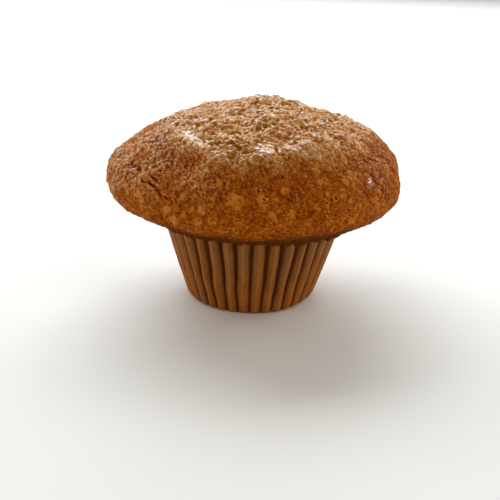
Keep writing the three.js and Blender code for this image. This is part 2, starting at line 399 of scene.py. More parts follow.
def scattered(outline, count, seed, wobble=0.6):
    """Points at even area over the crown, each with two draws of its own."""
    draw = draws(seed)
    points = evenly(outline, OUTLINE_STEPS)
    area = running(bands(points)[1])
    found = []
    for k in range(count):
        radius, height = points[np.searchsorted(area, (k + next(draw)) / count * area[-1])]
        angle = k * GOLDEN_ANGLE + wobble * next(draw)
        found.append((radius * math.cos(angle), radius * math.sin(angle), height, next(draw), next(draw)))
    return np.array(found)


def on_dome(outline, azimuth, height):
    """The point of the smooth crown above the rim at an azimuth and a height."""
    above = outline[: int(np.argmax(outline[:, 0])) + 1]
    radius = above[np.argmin(np.abs(above[:, 1] - height)), 0]
    return polar(azimuth, radius, height)


def distance_to_route(points, route):
    """How far each point lies from a line through the route's points."""
    closest = np.full(len(points), np.inf)
    for start, end in zip(route, route[1:]):
        along = end - start
        share = np.clip((points - start) @ along / (along @ along), 0, 1)
        closest = np.minimum(closest, np.linalg.norm(points - start - share[:, None] * along, axis=1))
    return closest


def raised(points, centre, reach, swell, out):
    """Adds one round rise to out, where it matters."""
    far = np.abs(points - centre).max(axis=1)
    near = np.flatnonzero(far < 4 * reach)
    out[near] += swell * bell(np.linalg.norm(points[near] - centre, axis=1), reach)


def all_raised(points, table, out=None):
    """A table's round rises, added to out where it is given."""
    out = np.zeros(len(points)) if out is None else out
    for *place, reach, swell in table:
        raised(points, polar(*place), reach, swell, out)
    return out


def crown_relief(points, outline):
    """How far the risen batter stands proud of the smooth crown: swells, crags and creases."""
    out = all_raised(points, SWELLS)
    for *centre, reach, swell in scattered(outline, CRAGS, CRAG_SEED):
        share = lerp(SIDE_SHARE, 1, smoothstep(centre[2], 54, 64))
        raised(points, np.array(centre), lerp(*CRAG_REACH, reach), share * lerp(*CRAG_SWELL, swell), out)
    for width, rise, route in CREASES:
        far = distance_to_route(points, [on_dome(outline, *place) for place in route])
        out += rise * bell(far, width / 2)
    return out


def angle_from(azimuth, centre):
    """How many degrees an azimuth lies from a centre, between -180 and 180."""
    return (azimuth - centre + 180) % 360 - 180


def lip_drop(azimuth):
    """How far the lip hangs below its ring."""
    return sum(depth * bell(angle_from(azimuth, centre), spread) for centre, spread, depth in LIP_SAGS)


def drift(points, *parts):
    """Smooth unevenness over the points: each part is a frequency and a share."""
    return np.array([sum(share * noise.noise(Vector(p) * often) for often, share in parts) for p in points])


def chips(point, width):
    """Height of angular bits packed side by side: each at its own level and slant, with gaps between."""
    far, nearest = noise.voronoi(point / width)
    key = nearest[0] * 57.0
    slant = (2 * noise.cell_vector(key) - Vector((1, 1, 1))).dot(point / width - nearest[0])
    gap = min(1.0, (far[1] - far[0]) / 0.16)
    return gap * (2 - gap) * (0.45 + 0.8 * noise.cell(key) + 0.4 * slant)


def lumps(point, width):
    """Height from 0 to 1 of round lumps packed side by side, with sharp creases between them."""
    far, nearest = noise.voronoi(point / width)
    size = 0.75 + 0.25 * noise.cell(nearest[0] * 31.0)
    return size * (1 - min(1.0, far[0] / 0.8) ** 2) * min(1.0, 0.4 + (far[1] - far[0]) / 0.3)


def crumb_texture(points, brow, lumpy, glaze, sizes):
    """Fine relief of the crust: torn crumb with small hollows on the top, and closer-grained or lumpy sides.

    Returns the height at each point and how far the point lies in a hollow.
    """
    width, height = sizes.pebble_width / MM, sizes.pebble_height / MM
    out, hollows = np.empty(len(points)), np.empty(len(points))
    for i, (point, top, lump, smooth) in enumerate(zip(points, brow, lumpy, glaze)):
        p = Vector(point)
        bent = p + 0.45 * noise.noise_vector(p * 0.4) + 0.25 * noise.noise_vector(p * 1.3)
        large, small = chips(bent, width), chips(bent, 0.55 * width)
        knob, bead = lumps(bent, 1.5 * width), lumps(bent, 0.75 * width)
        grain = noise.fractal(p * 0.9, 0.7, 2.0, 2)
        broad = noise.fractal(p * 0.12, 1.0, 2.0, 2)
        patch = 0.85 + 0.5 * max(-0.9, min(1, 1.8 * noise.noise(p * 0.15 + Vector((9, 4, 2)))))
        dip = noise.noise(bent * 0.45 + Vector((31, 7, 3))) + 0.4 * noise.noise(p * 1.2)
        hollow = max(0.0, min(1.0, (dip - 0.22) / 0.14)) * max(top, 0.5 * lump) * (1 - smooth)

        rough = patch * (large + 0.6 * small + 0.2 * bead) + 0.5 * grain - 1.2 * hollow
        close = 0.5 * patch * knob + 0.4 * large + 0.35 * small + 0.3 * bead + 0.5 * grain
        knobby = 1.6 * patch * knob + 0.6 * bead + 1.2 * large + 0.6 * small + 0.8 * grain - 0.9 * hollow
        side = lerp(sizes.side_roughness * close, knobby, lump)
        out[i] = height * (1 - 0.2 * smooth) * lerp(side, rough, top) + 0.2 * broad
        hollows[i] = hollow
    return out, hollows


def brow_height(azimuth):
    """Height at which the smooth sides turn into the rough top, along the two long ridges."""
    turns, heights = zip(*sorted((*CREASES[0][2], *CREASES[1][2])))
    return np.interp(azimuth, turns, heights, period=360)


def strewn(crown, table, count, seed, least, more, most):
    """Spots over the crown, as x, y, z and size: those of a table, then random ones."""
    spots = [(*polar(*place), reach) for *place, reach in table]
    for x, y, z, first, second in scattered(crown, count, seed, 2.0):
        spots.append((x, y, z, least + most * first * second + more * first))
    return spots


def patches(points, spots, fringe=0.35):
    """A soft-edged mask of round-ish spots with uneven edges, each turned its own way."""
    mask = np.zeros(len(points))
    uneven = drift(points, (0.55, 1), (1.3, 0.6))
    for k, (*centre, reach) in enumerate(spots):
        near = np.flatnonzero(np.abs(points - centre).max(axis=1) < 2 * reach)
        turned = (points[near] - centre) @ np.array(Matrix.Rotation(GOLDEN_ANGLE * k, 3, (1, 2, 3)))
        far = 0.4 * np.linalg.norm(turned, axis=1) + 0.43 * np.abs(turned).sum(axis=1)
        far = far / reach * (1 + fringe * uneven[near])
        mask[near] = np.maximum(mask[near], 1 - smoothstep(far, 0.82, 1.04))
    return mask


def torn(points, crown):
    """How deep the crust is split: thin wandering lines, broken here and there."""
    shaken = points + np.array([0.4 * noise.noise_vector(Vector(p) * 0.9) for p in points])
    split = np.zeros(len(points))
    for width, deep, route in SPLITS:
        far = distance_to_route(shaken, [on_dome(crown, *place) for place in route])
        split = np.maximum(split, deep * bell(far, width / 2))
    return split * np.clip(0.75 + drift(points, (0.5, 1)), 0, 1)


def spread_evenly(values, edges, rounds):
    """Averages each value with its neighbours along the mesh's edges, several times."""
    count = np.bincount(edges.ravel(), minlength=len(values))
    for _ in range(rounds):
        total = np.bincount(edges[:, 0], values[edges[:, 1]], len(values))
        total += np.bincount(edges[:, 1], values[edges[:, 0]], len(values))
        values = 0.5 * values + 0.5 * total / count
    return values


def mesh_points(mesh):
    flat = np.empty(len(mesh.vertices) * 3)
    mesh.vertices.foreach_get("co", flat)
    return flat.reshape(-1, 3)


def place_points(mesh, points):
    mesh.vertices.foreach_set("co", points.ravel())
    mesh.update()


def store_masks(mesh, name, *masks):
    """Keeps up to four masks of 0 to 1 in one colour attribute."""
    layer = mesh.attributes.new(name, "FLOAT_COLOR", "POINT")
    values = np.ones((len(mesh.vertices), 4))
    for k, mask in enumerate(masks):
        values[:, k] = np.clip(mask, 0, 1)
    layer.data.foreach_set("color", values.ravel())


def cube_ball(name, cuts):
    """A mesh of even squares, pulled from a finely cut cube onto a ball of radius 1."""
    bm = bmesh.new()
    bmesh.ops.create_cube(bm, size=2)
    bmesh.ops.subdivide_edges(bm, edges=bm.edges[:], cuts=cuts, use_grid_fill=True)
    mesh = bpy.data.meshes.new(name)
    bm.to_mesh(mesh)
    bm.free()
    points = np.tan(mesh_points(mesh) * math.pi / 4)
    place_points(mesh, points / np.linalg.norm(points, axis=1)[:, None])
    return mesh


def hidden_outline(lip, case):
    """The outline beyond the lip: back to the paper, over its edge and down inside the case."""
    base, height = case.base_radius / MM, case.height / MM
    deepest = case.fold_depth_top / MM * 1.2

    def paper(z):
        return base + case.slope * z

    under = [
        lip,
        (lip[0] - 0.8, lip[1] - 0.55),
        (paper(lip[1]) + 0.75, lip[1] - 0.55),
        (paper(lip[1]) + 0.2, lip[1]),
        (paper(height) + 0.2, height + 0.25),
        (paper(height) - deepest - 0.7, height + 0.25),
        (base - deepest - 0.4, 0.9),
        (0.0, 0.9),
    ]
    return np.array(under)


def wrapped(azimuth, share, crown, hidden):
    """Lays points round an outline, by their azimuth and their share of its area from the apex on.

    Returns the points, the way that each one faces, how far along the outline it lies, and where the lip is.
    """
    outline = np.vstack([crown, hidden[1:]])
    lengths, areas = bands(outline)
    seen = len(crown) - 1
    areas[seen:] *= HIDDEN_SHARE / (1 - HIDDEN_SHARE) * areas[:seen].sum() / areas[seen:].sum()
    along, reached = running(lengths), running(areas)
    reached /= reached[-1]
    slopes = np.gradient(outline, axis=0)
    slopes /= np.linalg.norm(slopes, axis=1)[:, None] + 1e-9

    def turned(out, up):
        out, up = np.interp(share, reached, out), np.interp(share, reached, up)
        return np.stack([out * np.cos(azimuth), out * np.sin(azimuth), up], 1)

    facing = turned(-slopes[:, 1], slopes[:, 0])
    facing /= np.linalg.norm(facing, axis=1)[:, None] + 1e-9
    return turned(outline[:, 0], outline[:, 1]), facing, np.interp(share, reached, along), along[seen]


def baked_muffin(sizes, case):
    """The muffin: crown, rolled lip and the crumb inside the case, as one closed mesh."""
    noise.seed_set(NOISE_SEED)
    mesh = cube_ball("baked_muffin", BALL_CUTS)
    x, y, z = mesh_points(mesh).T
    azimuth = np.arctan2(y, x)
    crown = evenly(crown_outline(sizes), CROWN_STEPS)
    hidden = evenly(hidden_outline(crown[-1], case), OUTLINE_STEPS)
    points, facing, travelled, lip_at = wrapped(azimuth, np.clip((1 - z) / 2, 0, 1), crown, hidden)
    azimuth = np.degrees(azimuth)

    # The batter rises everywhere but at the lip, which settles raggedly onto the paper.
    settled = 1 - smoothstep(lip_at - travelled, 0, lip_at * SETTLED_SHARE)
    moved = crown_relief(points, evenly(crown_outline(sizes), OUTLINE_STEPS)) * (1 - settled)
    all_raised(points, LIP_CRUMBS, moved)
    hung = lip_drop(azimuth) * settled * (1 - smoothstep(travelled, lip_at + 2.5, lip_at + 4.5))
    ragged = np.clip(drift(points, (0.4, 1), (1.1, 0.5)), -0.3, 0.8)
    hung += 0.9 * ragged * settled * (1 - smoothstep(travelled, lip_at + 0.8, lip_at + 2.0))
    points += facing * moved[:, None]
    points[:, 2] -= hung

    # Where the crust is rough, lumpy or glazed, and its fine relief, levelled so that no part swells.
    wander = drift(points, (0.14, 1))
    above_brow = points[:, 2] - brow_height(azimuth) + 3.0 * wander
    brow = smoothstep(above_brow, -1.6, 0.8)
    lumpy = np.clip(all_raised(points, LUMPY) * (1 + 1.2 * wander), 0, 1)
    glaze = smoothstep(all_raised(points, GLAZED) * (1 + 0.8 * drift(points, (0.6, 1))), 0.25, 0.7)
    fine, hollows = crumb_texture(points, brow, lumpy, glaze, sizes)
    top, smooth, lumped = brow > 0.5, (brow < 0.5) & (lumpy < 0.3), (brow < 0.5) & (lumpy > 0.6)
    fine -= lerp(lerp(np.mean(fine[smooth]), np.mean(fine[lumped]), lumpy), np.mean(fine[top]), brow)

    # Pale bits, open bubbles with pale rims, and splits.
    bits = strewn(crown, PALE_BITS, sizes.flecks, FLECK_SEED, 0.55, 0.25, 1.15)
    pits = strewn(crown, PITS, sizes.bubbles, BUBBLE_SEED, 0.25, 0.1, 0.35)
    rims = [(*place, 0.5 + 1.1 * reach) for *place, reach in pits]
    pale = np.maximum(patches(points, bits), 0.5 * patches(points, rims, 0.7))
    pit = patches(points, pits, 0.7)
    split = torn(points, crown)
    fine += 0.12 * pale - 0.3 * pit - 1.2 * split
    shown = 1 - smoothstep(travelled, lip_at + 2.0, lip_at + 3.5)
    points += facing * (fine * shown)[:, None]

    # What the crust's material reads: how far each point lies below its neighbours, near and far, which it
    # paints as shade in the hollows and as light on the proud crumbs.
    edges = np.empty(len(mesh.edges) * 2, int)
    mesh.edges.foreach_get("vertices", edges)
    edges = edges.reshape(-1, 2)
    rise = moved + fine
    nearby, wider, widest = (spread_evenly(rise, edges, rounds) - rise for rounds in (3, 8, 80))
    rugged = np.maximum(brow, lumpy)
    crumb = 0.5 - nearby / (6 * lerp(0.075, 0.18, rugged))
    proud = smoothstep(-wider / lerp(0.09, 0.23, rugged), -0.5, 0.9)
    # How deep each point lies in the cracks, gaps and hollows: painted shade in the material.
    crevice_shade = np.clip(wider / 0.25, 0, 1) * 0.55 + np.clip(widest / 0.8, 0, 1) * 0.3 + 0.5 * hollows
    oily = lerp(sizes.side_sheen, 1.0, np.clip(brow + 0.7 * lumpy, 0, 1))
    oily += 0.35 * smoothstep(above_brow, -9, -1) * (1 - brow) * (0.5 + 0.5 * lumpy)
    oily *= proud * (1 - 0.8 * np.clip(crevice_shade, 0, 1)) * (1 - pit)
    toasted = smoothstep(above_brow, -4.0, 2.5)
    # The lip mask: painted shade, darkening the lower crown towards its rolled edge.
    lip = smoothstep(travelled, lip_at - 21.0, lip_at - 9.0)
    # The third relief mask holds the painted shade inside the pits and the splits.
    store_masks(mesh, "relief", crevice_shade, pale * (1 - pit), np.maximum(pit, 1.3 * split))
    store_masks(mesh, "bake", toasted, lip, crumb)
    store_masks(mesh, "sheen", oily, lumpy, glaze)

    place_points(mesh, points * MM)
    mesh.polygons.foreach_set("use_smooth", [True] * len(mesh.polygons))
    return mesh


def drawn_cup(segments):
    """A ring drawn up into a wall, and drawn in to close the base.

    Each vertex keeps its level: 0 to 1 up the wall, and 0 to -1 from the ring to the middle of the base.
    """
    bm = bmesh.new()
    bmesh.ops.create_circle(bm, cap_ends=False, radius=1.0, segments=segments)
    ring = bm.edges[:]
    level = bm.verts.layers.float.new("level")
    for count, sign in ((WALL_ROWS, 1), (BASE_RINGS, -1)):
        edge = ring
        for step in range(1, count + 1):
            grown = bmesh.ops.extrude_edge_only(bm, edges=edge)["geom"]
            for vert in (g for g in grown if isinstance(g, bmesh.types.BMVert)):
                vert[level] = sign * step / count
            edge = [g for g in grown if isinstance(g, bmesh.types.BMEdge)]
    bmesh.ops.contextual_create(bm, geom=edge)
    return bm, level


def pleated_case(sizes):
    """The paper case: a cup of fluted walls with a flat base, given its thickness."""
    flutes, height, base = sizes.flutes, sizes.height, sizes.base_radius
    bm, level = drawn_cup(flutes * FLUTE_COLUMNS)
    draw = draws(CRAG_SEED)
    depth, lean, kink, knuckle, mouth = ([2 * next(draw) - 1 for _ in range(flutes)] for _ in range(5))
    masks = bm.verts.layers.float_color.new("pleat")
    for vert in bm.verts:
        turn = math.atan2(vert.co.x, -vert.co.y) / (2 * math.pi) % 1
        angle, azimuth = turn * 2 * math.pi, turn * 360 - 90
        share = max(0.0, vert[level]) ** 1.3
        z = height * share

        # Where the point lies across its flute, which wavers, leans and has a knuckle.
        fold_at = round(turn * flutes)
        fold = fold_at % flutes
        bend = math.exp(-((share - 0.36 - 0.08 * knuckle[fold]) ** 2) / 0.012)
        wave = noise.noise(Vector((fold * 3.7, share * 3.0, 0.5)))
        across = turn * flutes - fold_at - (0.04 * lean[fold] * share + 0.1 * kink[fold] * bend + 0.07 * wave)
        peak = 0.5 + FLUTE_LEAN * math.sin(angle)
        near = 0.5 * min(across % 1 / peak, (1 - across % 1) / (1 - peak))
        valley = 0.5 * lerp(0.03, 0.18, share**0.8) * (1 + 0.45 * mouth[fold]) * (1 + 0.5 * bend * kink[fold])
        rise = (1 - (1 - min(1.0, max(0.0, near - valley) / (0.5 - valley))) ** 2) ** 0.7

        # The wall's radius there, with the rounded corner at its foot.
        corner = sizes.corner + CORNER_EXTRA[2] * bell(angle_from(azimuth, CORNER_EXTRA[0]), CORNER_EXTRA[1])
        round_off = corner * (1 - math.sqrt(1 - max(0.0, 1 - z / corner) ** 2))
        deep = lerp(sizes.fold_depth_base, 1.15 * sizes.fold_depth_top, share) * (1 + 0.2 * depth[fold])
        bulge = BULGE * rise * math.sin(math.pi * min(1.0, share * 1.2)) * (0.6 + 0.4 * mouth[fold])
        crumple = CRUMPLE * noise.noise(Vector((turn * 60.0, share * 7.0, 2.0)))
        flare = FLARE * math.exp(-z / 0.0006) * math.exp(-(((azimuth + 72) / 20) ** 2))
        radius = base + sizes.slope * z - round_off - deep * (1 - rise) + bulge + crumple + flare

        # What the paper's material reads: painted shade in the folds, a painted highlight along the backs of
        # the flutes, and where oil soaked in.
        shade = 1 - smoothstep(near, 0.6 * valley, valley + 0.2)
        edge = smoothstep(near, 0.38, 0.48)
        moist = 0.5 + 0.8 * noise.noise(Vector((fold * 2.3, share * 1.6, 4.5)))
        if vert[level] < 0:
            inner = 1 + vert[level]
            shade, edge = shade * inner**10, edge * inner**10
            radius = lerp(base - corner, radius, inner**6) * (0.04 + 0.96 * inner)
            z = max(0.0, DENT * (1 - inner**4) + 0.00006 * noise.noise(Vector((turn * 20, inner * 5, 7.0))))
        vert[masks] = (shade, edge, min(1.0, max(0.0, moist)), 1.0)
        vert.co = (radius * math.sin(angle), -radius * math.cos(angle), z)

    bmesh.ops.recalc_face_normals(bm, faces=bm.faces[:])
    if sum(f.normal.z * f.calc_area() for f in bm.faces) > 0:
        bmesh.ops.reverse_faces(bm, faces=bm.faces[:])
    bmesh.ops.solidify(bm, geom=bm.faces[:], thickness=sizes.thickness)
    bm.verts.layers.float.remove(level)
    for face in bm.faces:
        face.smooth = True
    mesh = bpy.data.meshes.new("pleated_paper_case")
    bm.to_mesh(mesh)
    bm.free()
    return mesh


# ---- materials ----


def fill(node, values):
    """Gives a node's sockets their fixed values, or the sockets that feed them."""
    for name, value in values.items():
        if isinstance(value, bpy.types.NodeSocket):
            node.id_data.links.new(value, node.inputs[name])
        else:
            node.inputs[name].default_value = (*value, 1) if isinstance(value, Color) else value


def add(tree, kind, place, values=None, **settings):
    """One node at a place in the editor's grid, with its settings and what its sockets take."""
    made = tree.nodes.new(kind)
    made.location = (place[0] * 190, place[1] * -170)
    for name, value in settings.items():
        setattr(made, name, value)
    fill(made, values or {})
    return made


def mix(tree, place, share, first, second):
    """Lays the second colour over the first by a share."""
    values = {0: share, 6: first, 7: second}
    return add(tree, "ShaderNodeMix", place, values, data_type="RGBA", clamp_result=True).outputs[2]


def ramp(tree, place, value, low, high, start=0.0, end=1.0):
    """Stretches a value so that low to high becomes start to end, held at both."""
    values = {"Value": value, "From Min": low, "From Max": high, "To Min": start, "To Max": end}
    return add(tree, "ShaderNodeMapRange", place, values).outputs["Result"]


def worked(tree, place, operation, *values):
    """The result of an operation on one or two values."""
    return add(tree, "ShaderNodeMath", place, dict(enumerate(values)), operation=operation).outputs[0]


def times(tree, place, first, second):
    return worked(tree, place, "MULTIPLY", first, second)


def plus(tree, place, first, second):
    return worked(tree, place, "ADD", first, second)


def larger(tree, place, first, second):
    return worked(tree, place, "MAXIMUM", first, second)


def weighed(tree, place, *parts):
    """The sum of values, each times its weight."""
    x, y = place
    total = None
    for k, (value, weight) in enumerate(parts):
        part = times(tree, (x, y + k), value, weight)
        total = part if total is None else plus(tree, (x + 1, y + k), total, part)
    return total


def shades(tree, place, value, *stops):
    """A run of colours along a value: each stop is a position and a colour."""
    made = add(tree, "ShaderNodeValToRGB", place, {"Fac": value})
    elements = made.color_ramp.elements
    elements[0].position, elements[1].position = stops[0][0], stops[-1][0]
    elements[0].color, elements[1].color = (*stops[0][1], 1), (*stops[-1][1], 1)
    for position, shade in stops[1:-1]:
        elements.new(position).color = (*shade, 1)
    return made.outputs["Color"]


def vector(tree, place, operation, values):
    return add(tree, "ShaderNodeVectorMath", place, values, operation=operation).outputs[0]


def soft_noise(tree, place, where, scale, detail, roughness=0.5):
    values = {"Vector": where, "Scale": scale, "Detail": detail, "Roughness": roughness}
    return add(tree, "ShaderNodeTexNoise", place, values).outputs


def blank_group(name, numbers, masks):
    """A group that takes a vector and numbers and puts out masks, and the sockets of its input."""
    tree = bpy.data.node_groups.new(name, "ShaderNodeTree")
    tree.interface.new_socket("Vector", in_out="INPUT", socket_type="NodeSocketVector")
    for number, value in numbers.items():
        tree.interface.new_socket(number, in_out="INPUT", socket_type="NodeSocketFloat").default_value = value
    for mask in masks:
        tree.interface.new_socket(mask, in_out="OUTPUT", socket_type="NodeSocketFloat")
    return tree, add(tree, "NodeGroupInput", (-8, 0)).outputs


def speckle_group():
    """Two sizes of soft speckle, used by the crust and by the paper."""
    names = ("Speckle", "Blotch", "Both")
    tree, into = blank_group("Speckle", {"Fine": 1400.0, "Coarse": 160.0}, names)
    fine = soft_noise(tree, (-2, 0), into["Vector"], into["Fine"], 3.0, 0.6)
    coarse = soft_noise(tree, (-2, 2), into["Vector"], into["Coarse"], 4.0, 0.55)
    speckle = ramp(tree, (-1, 0), fine["Fac"], 0.3, 0.7)
    blotch = ramp(tree, (-1, 2), coarse["Fac"], 0.32, 0.68)
    both = add(tree, "ShaderNodeMix", (0, 1), {0: 0.5, 2: speckle, 3: blotch}, data_type="FLOAT").outputs[0]
    add(tree, "NodeGroupOutput", (1, 0), dict(zip(names, (speckle, blotch, both))))
    return tree


def crumb_group():
    """Uneven bits of crumb of one size: a tone for each bit, 0.5 between them, their height and a pick."""
    names = ("Tone", "Height", "Pick")
    tree, into = blank_group("Crumb bits", {"Scale": 400.0, "Spared": 0.4}, names)
    where, scale = into["Vector"], into["Scale"]
    warp = soft_noise(tree, (-6, 0), where, times(tree, (-7, 1), scale, 1.3), 2.0)
    push = vector(tree, (-5, 0), "SUBTRACT", {0: warp["Color"], 1: (0.5, 0.5, 0.5)})
    reach = worked(tree, (-6, 2), "DIVIDE", 0.9, scale)
    push = vector(tree, (-4, 0), "SCALE", {0: push, "Scale": reach})
    bent = vector(tree, (-3, 0), "ADD", {0: push, 1: where})
    values = {"Vector": bent, "Scale": scale}
    cells = add(tree, "ShaderNodeTexVoronoi", (-2, 0), values)
    rims = add(tree, "ShaderNodeTexVoronoi", (-2, 2), values, feature="DISTANCE_TO_EDGE")
    tone, pick, _ = add(tree, "ShaderNodeSeparateColor", (-1, 0), {"Color": cells.outputs["Color"]}).outputs
    inside = ramp(tree, (-1, 2), rims.outputs["Distance"], 0.03, 0.14)
    kept = worked(tree, (0, 1), "GREATER_THAN", pick, into["Spared"])
    kept = times(tree, (1, 1), kept, inside)
    shown = add(tree, "ShaderNodeMix", (2, 0), {0: kept, 2: 0.5, 3: tone}, data_type="FLOAT").outputs[0]
    add(tree, "NodeGroupOutput", (3, 0), dict(zip(names, (shown, kept, pick))))
    return tree


def speckles(tree, place, where, fine, coarse):
    group = bpy.data.node_groups.get("Speckle") or speckle_group()
    values = {"Vector": where, "Fine": fine, "Coarse": coarse}
    return add(tree, "ShaderNodeGroup", place, values, node_tree=group).outputs


def crumb_bits(tree, place, where, scale, spared):
    group = bpy.data.node_groups.get("Crumb bits") or crumb_group()
    values = {"Vector": where, "Scale": scale, "Spared": spared}
    return add(tree, "ShaderNodeGroup", place, values, node_tree=group).outputs


def kept_masks(tree, row, name):
    """The three masks that store_masks put on the mesh under a name."""
    kept = add(tree, "ShaderNodeAttribute", (-6, row), attribute_name=name, attribute_type="GEOMETRY")
    return add(tree, "ShaderNodeSeparateColor", (-5, row), {"Color": kept.outputs["Color"]}).outputs


def blank_material(name):
    """A material with nothing but its shader, which comes with it and the tree that holds it."""
    material = bpy.data.materials.new(name)
    material.use_nodes = True
    tree = material.node_tree
    tree.nodes.clear()
    surface = add(tree, "ShaderNodeBsdfPrincipled", (9, 0))
    add(tree, "ShaderNodeOutputMaterial", (11, 0), {"Surface": surface.outputs["BSDF"]})
    return material, tree, surface


def crust_material(colours):
    """Baked crust: a mosaic of browned crumb and pale bits, oily on top, with painted shade in the cracks,
    gaps, hollows, pits and on the lower crown, and painted highlights, glints and sheen.
    """
    material, tree, surface = blank_material("baked_crust")
    where = add(tree, "ShaderNodeTexCoord", (-6, 0)).outputs["Object"]
    crevice_shade, pale, pit_and_split_shade = kept_masks(tree, 3, "relief")
    toasted, lip, crumb = kept_masks(tree, 5, "bake")
    oil, lumpy, glaze = kept_masks(tree, 7, "sheen")
    grain = speckles(tree, (-4, 0), where, 2200, 110)
    blots = speckles(tree, (-4, 2), where, 900, 330)
    large = crumb_bits(tree, (-4, 9), where, 290, 0.45)
    small = crumb_bits(tree, (-4, 11), where, 620, 0.35)
    tiny = crumb_bits(tree, (-4, 13), where, 1300, 0.3)

    # Tone follows the crumb mask most: painted shade in the hollows and painted light on the proud crumbs,
    # over the random mosaic.
    tone = weighed(
        tree, (-3, 8), (large["Tone"], 0.36), (small["Tone"], 0.32), (tiny["Tone"], 0.26),
        (grain["Blotch"], 0.22), (blots["Blotch"], 0.26), (grain["Speckle"], 0.2), (crumb, 1.0),
    )
    tone = ramp(tree, (-1, 8), tone, 0.86, 1.77)
    side = shades(
        tree, (0, 8), tone, (0.12, colours.ruddy), (0.36, colours.dark_crust), (0.56, colours.crust),
        (0.78, colours.golden), (0.95, colours.fleck),
    )
    top = shades(
        tree, (0, 10), tone, (0.04, colours.dark_crust), (0.24, colours.hollow), (0.5, colours.tan),
        (0.82, colours.toasted),
    )
    rough = larger(tree, (0, 4), times(tree, (-1, 4), lumpy, 0.5), toasted)
    base = mix(tree, (1, 0), rough, side, top)

    baked_in = times(tree, (1, 3), pale, ramp(tree, (0, 3), tone, 0.1, 0.6, 0.3, 0.85))
    golden = ramp(tree, (0, 2), grain["Blotch"], 0.35, 0.75, 0.0, 0.55)
    base = mix(tree, (2, 0), baked_in, base, mix(tree, (1, 2), golden, colours.fleck, colours.pale_grain_and_sparkle))
    browned = ramp(tree, (0, 6), small["Pick"], 0.7, 0.78, 0.0, 0.6)
    base = mix(tree, (2, 1), times(tree, (1, 6), browned, toasted), base, colours.amber)
    # The proud tops of the crumb on the top and the lumps are laid paler: dry crumb, and partly a painted
    # highlight.
    dry = times(tree, (1, 5), larger(tree, (0, 5), lumpy, toasted), 0.6)
    dry_lit_crest = times(tree, (2, 4), ramp(tree, (1, 4), crumb, 0.6, 0.9), dry)
    base = mix(tree, (3, 0), dry_lit_crest, base, mix(tree, (2, 5), lumpy, colours.toasted, colours.dusty_and_lit))
    broken = plus(tree, (0, 7), blots["Speckle"], times(tree, (-1, 7), grain["Speckle"], 0.6))
    gloss = times(tree, (2, 7), glaze, ramp(tree, (1, 7), broken, 0.7, 0.95))
    # Painted sheen: the shiny patches are painted paler, as if they caught the light.
    base = mix(tree, (3, 2), times(tree, (2, 6), gloss, 0.36), base, colours.painted_sheen)
    # Painted shade in the cracks and gaps, and on the top the darker moist colour of the hollows.
    base = mix(tree, (4, 0), crevice_shade, base, mix(tree, (3, 1), toasted, colours.crevice_shade, colours.hollow))
    # Fine pale grains over the crust, partly painted sparkle, and near-white painted glints where it is oily.
    grit = soft_noise(tree, (2, 12), where, 2200.0, 1.0)["Fac"]
    grains_and_glints = times(tree, (4, 12), ramp(tree, (3, 12), grit, 0.6, 0.72), 0.62)
    grains_and_glints = times(tree, (5, 12), grains_and_glints, ramp(tree, (4, 13), oil, 0, 1, 1.0, 1.6))
    base = mix(tree, (5, 0), grains_and_glints, base, mix(tree, (4, 14), oil, colours.pale_grain_and_sparkle, colours.glint))
    # Painted shade on the lower crown and its rolled edge.
    base = mix(tree, (6, 0), times(tree, (5, 3), lip, 0.85), base, colours.lip)
    # Painted shade inside the open pits and the splits.
    base = mix(tree, (7, 0), times(tree, (6, 2), pit_and_split_shade, 0.9), base, colours.pit_and_split_shade)

    sparkle = plus(tree, (6, 6), small["Tone"], times(tree, (5, 6), grain["Speckle"], 0.4))
    glitter = times(tree, (7, 7), oil, ramp(tree, (6, 7), sparkle, 0.55, 0.85, 0.0, 0.75))
    height = weighed(
        tree, (5, 9), (large["Height"], 0.4), (small["Height"], 0.4), (tiny["Height"], 0.3),
        (grain["Speckle"], 0.5),
    )
    bump = add(tree, "ShaderNodeBump", (8, 9), {"Height": height, "Strength": 1.0, "Distance": 0.0003})
    finish = {
        "Base Color": base,
        "Roughness": ramp(tree, (8, 5), oil, 0, 1, 0.7, 0.33),
        "Specular IOR Level": 0.02,
        "Coat Weight": larger(tree, (8, 7), glitter, gloss),
        "Coat Roughness": 0.17,
        "Coat IOR": 1.8,
        "Normal": bump.outputs["Normal"],
    }
    fill(surface, finish)
    return material


